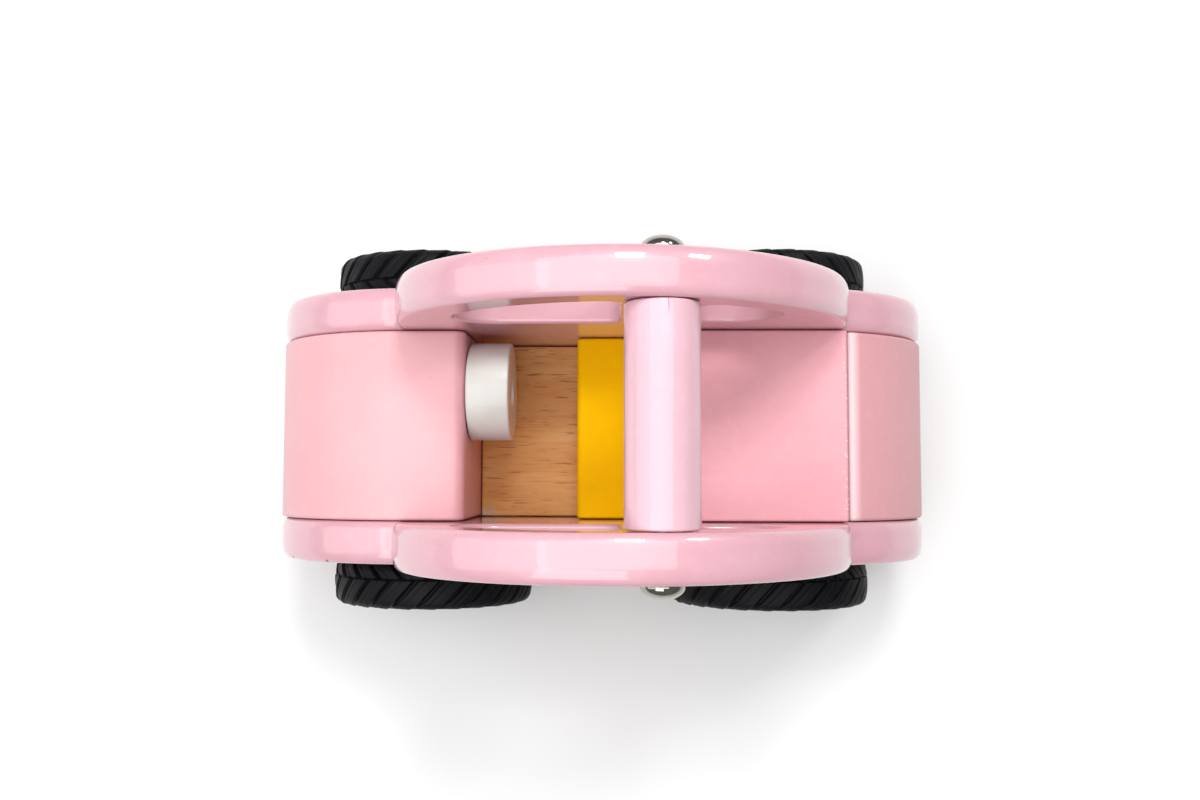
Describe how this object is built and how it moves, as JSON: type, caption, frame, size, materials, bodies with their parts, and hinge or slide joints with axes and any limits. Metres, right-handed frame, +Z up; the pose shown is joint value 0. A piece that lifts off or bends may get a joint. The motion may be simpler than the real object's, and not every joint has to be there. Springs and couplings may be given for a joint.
{
  "type": "wooden toy car",
  "caption": "Pink wooden dolls' car: arched side panels with open windows, roof bar, yellow bench, turning steering disc and rubber-tyred wheels that roll.",
  "frame": {"origin": "on the ground under the middle of the overall box", "axes": "+X forward towards the nose, +Y to the car's left, +Z up"},
  "size_m": [0.2569, 0.1376, 0.1801],
  "materials": {
    "panel_paint": "glossy pink lacquer",
    "block_paint": "satin pink paint",
    "deck_paint": "satin salmon pink paint",
    "roof_paint": "glossy lilac pink lacquer",
    "floor_wood": "bare oiled hardwood, grain along the car",
    "seat_paint": "satin yellow paint",
    "white_paint": "satin white paint",
    "dowel_wood": "bare beech",
    "tyre_rubber": "matt black moulded rubber",
    "steel": "drawn steel rod",
    "nickel": "bright nickel plate"
  },
  "bodies": {
    "car_body": {"left_side_panel": "panel_paint", "right_side_panel": "panel_paint", "hood_block": "block_paint", "boot_block": "block_paint", "rear_deck": "deck_paint", "floor_board": "floor_wood", "bench_seat": "seat_paint", "roof_bar": "roof_paint", "roof_rod": "steel", "roof_cap_left": "nickel", "roof_cap_right": "nickel", "steering_washer": "nickel", "steering_screw": "nickel", "front_axle": "steel", "rear_axle": "steel", "hood_dowel_left_1": "dowel_wood", "hood_dowel_right_1": "dowel_wood", "hood_dowel_left_2": "dowel_wood", "hood_dowel_right_2": "dowel_wood", "deck_dowel_left_1": "dowel_wood", "deck_dowel_right_1": "dowel_wood", "deck_dowel_left_2": "dowel_wood", "deck_dowel_right_2": "dowel_wood", "boot_dowel_left_1": "dowel_wood", "boot_dowel_right_1": "dowel_wood", "boot_dowel_left_2": "dowel_wood", "boot_dowel_right_2": "dowel_wood", "floor_dowel_left_1": "dowel_wood", "floor_dowel_right_1": "dowel_wood", "floor_dowel_left_2": "dowel_wood", "floor_dowel_right_2": "dowel_wood", "wheel_washer_front_left": "nickel", "axle_cap_front_left": "nickel", "wheel_washer_front_right": "nickel", "axle_cap_front_right": "nickel", "wheel_washer_rear_left": "nickel", "axle_cap_rear_left": "nickel", "wheel_washer_rear_right": "nickel", "axle_cap_rear_right": "nickel"},
    "wheel_front_left": {"hub_front_left": "white_paint", "tyre_front_left": "tyre_rubber"},
    "wheel_front_right": {"hub_front_right": "white_paint", "tyre_front_right": "tyre_rubber"},
    "wheel_rear_left": {"hub_rear_left": "white_paint", "tyre_rear_left": "tyre_rubber"},
    "wheel_rear_right": {"hub_rear_right": "white_paint", "tyre_rear_right": "tyre_rubber"},
    "steering_disc": {"steering_wheel": "white_paint"}
  },
  "joints": [
    {"name": "front_left_roll", "type": "hinge", "parent": "car_body", "child": "wheel_front_left", "pos_m": [0.0681, 0.0588, 0.0398], "axis": [0, 1, 0], "continuous": true},
    {"name": "front_right_roll", "type": "hinge", "parent": "car_body", "child": "wheel_front_right", "pos_m": [0.0681, -0.0588, 0.0398], "axis": [0, 1, 0], "continuous": true},
    {"name": "rear_left_roll", "type": "hinge", "parent": "car_body", "child": "wheel_rear_left", "pos_m": [-0.0674, 0.0588, 0.0398], "axis": [0, 1, 0], "continuous": true},
    {"name": "rear_right_roll", "type": "hinge", "parent": "car_body", "child": "wheel_rear_right", "pos_m": [-0.0674, -0.0588, 0.0398], "axis": [0, 1, 0], "continuous": true},
    {"name": "steering_turn", "type": "hinge", "parent": "car_body", "child": "steering_disc", "pos_m": [0.0404, -0.0132, 0.0827], "axis": [1, 0, 0], "continuous": true}
  ]
}
